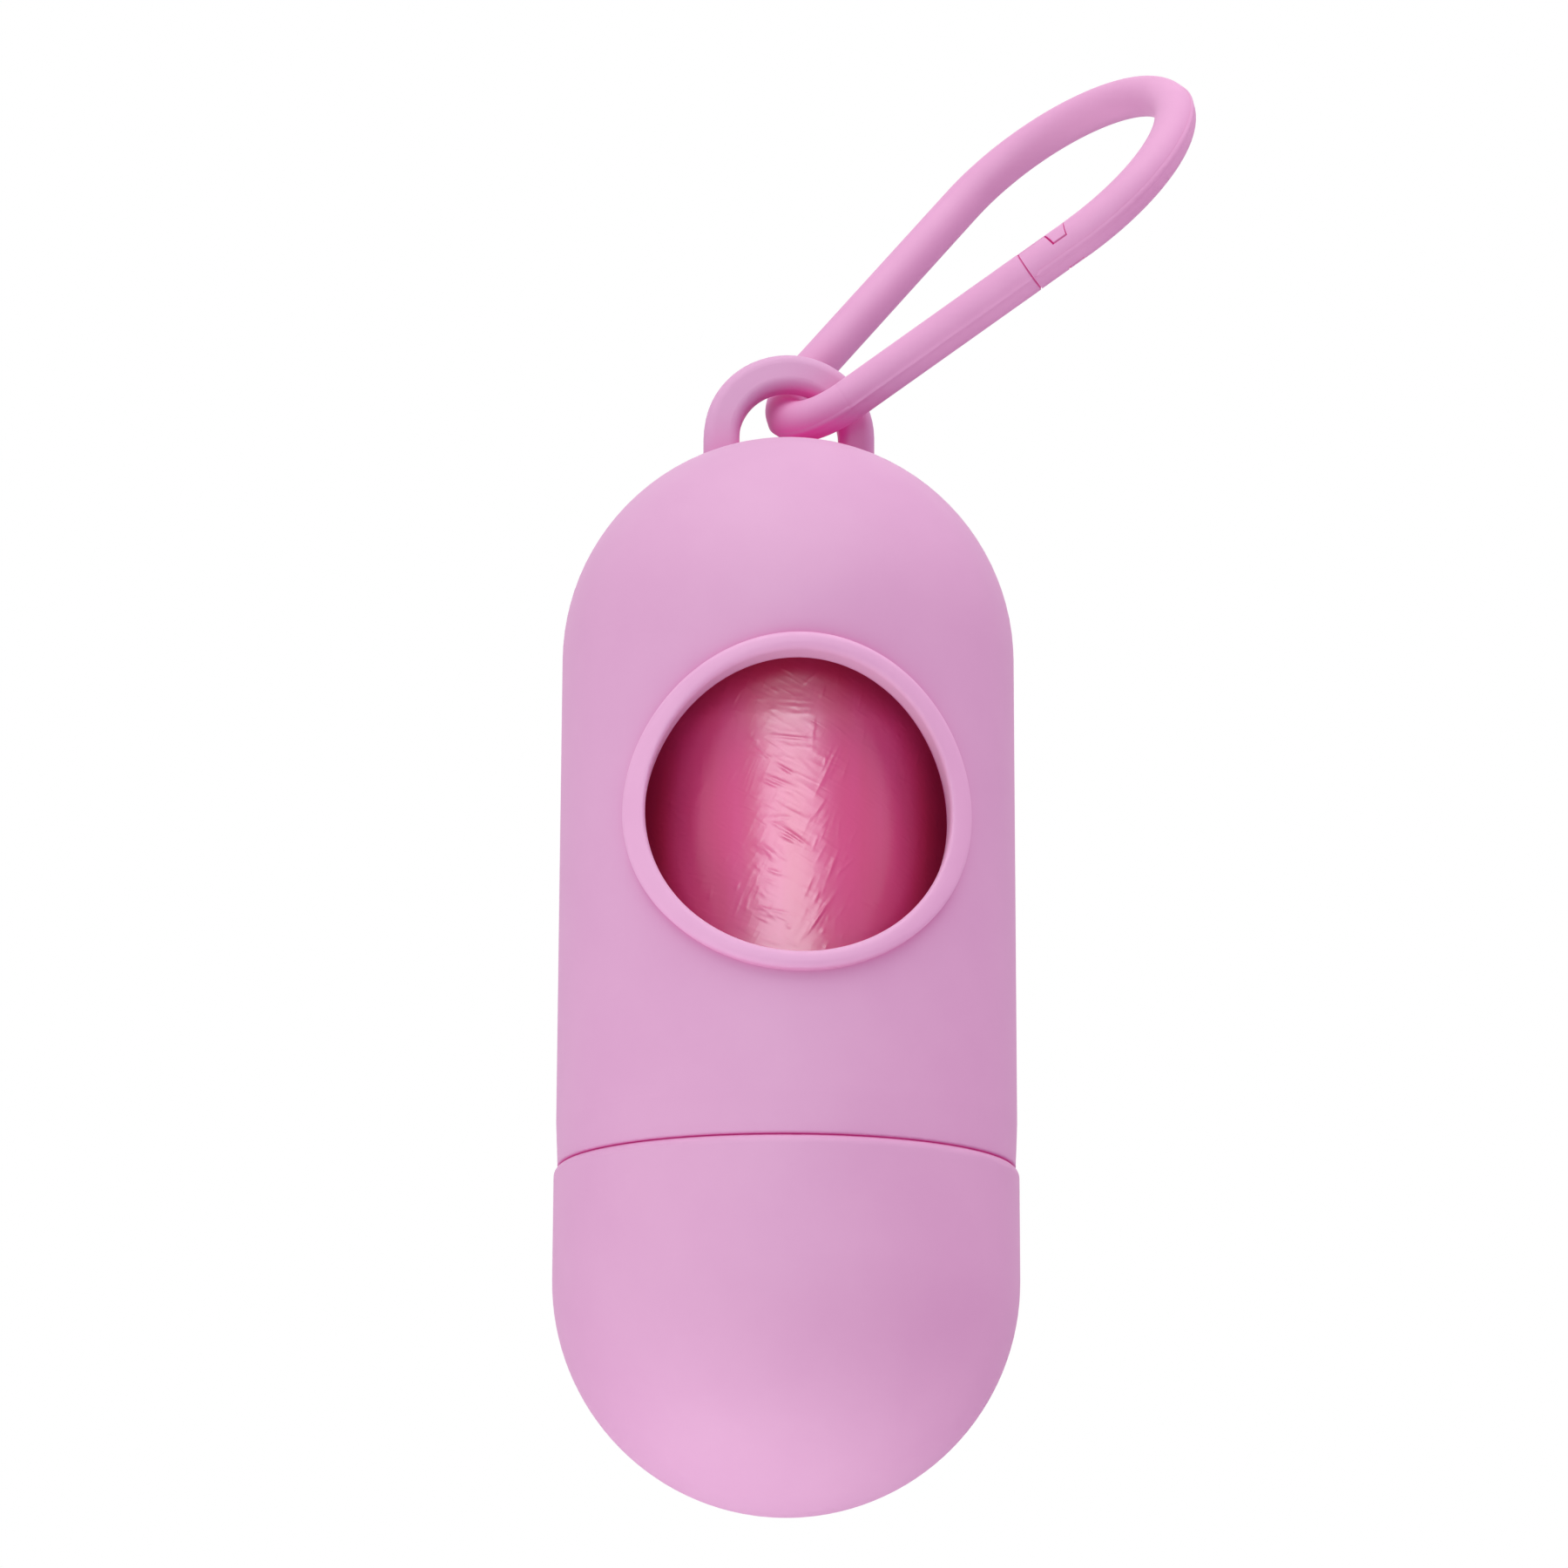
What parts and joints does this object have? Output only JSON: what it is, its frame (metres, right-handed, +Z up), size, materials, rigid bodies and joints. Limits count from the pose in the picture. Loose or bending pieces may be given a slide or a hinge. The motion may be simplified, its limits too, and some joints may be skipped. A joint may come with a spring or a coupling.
{
  "type": "pet waste bag dispenser",
  "caption": "Capsule-shaped bag dispenser with a round window, a screw-on end cap, a roll of bags inside and a pear-shaped snap clip through its top loop.",
  "frame": {"origin": "the inner face of the clip's top bend at its mid-point, where a lead or a belt loop bears and from which the dispenser hangs", "axes": "+Z up along the capsule's axis towards its loop, -Y out of the window, +X to the right as the window is faced, the side that the clip leans to"},
  "size_m": [0.0531, 0.0388, 0.1245],
  "materials": {
    "case_plastic": "fine matte moulded plastic, pale orchid pink",
    "clip_plastic": "satin moulded plastic, orchid pink",
    "paper_tube": "wound brown paper",
    "bag_film": "thin glossy polyethylene film, raspberry pink, creased"
  },
  "bodies": {
    "clip": {"clip_frame": "clip_plastic"},
    "gate": {"clip_gate": "clip_plastic"},
    "case": {"upper_case": "case_plastic"},
    "core": {"roll_core": "paper_tube"},
    "roll": {"bag_roll": "bag_film"},
    "cap": {"end_cap": "case_plastic"}
  },
  "joints": [
    {"name": "gate_flex", "type": "hinge", "parent": "clip", "child": "gate", "pos_m": [-0.02408, -0.00244, -0.02627], "axis": [-0.6052, -0.5198, 0.6029], "range_deg": [0, 28], "stiffness_Nm_per_rad": 0.12},
    {"name": "case_swing", "type": "hinge", "parent": "clip", "child": "case", "pos_m": [-0.0303, 0.00206, -0.02949], "axis": [0, 1, 0], "range_deg": [-4, 56]},
    {"name": "cap_travel", "type": "slide", "parent": "case", "child": "core", "axis": [0, 0, -1], "range_m": [0, 0.008]},
    {"name": "cap_turn", "type": "hinge", "parent": "core", "child": "cap", "pos_m": [-0.0303, 0.00206, -0.11999], "axis": [0, 0, -1], "range_deg": [0, 240]},
    {"name": "roll_spin", "type": "hinge", "parent": "core", "child": "roll", "pos_m": [-0.0303, 0.00206, -0.10971], "axis": [0, 0, 1], "continuous": true}
  ],
  "couplings": [
    {"joint": "cap_turn", "follows": "cap_travel", "rad_per_m": 523.6}
  ]
}
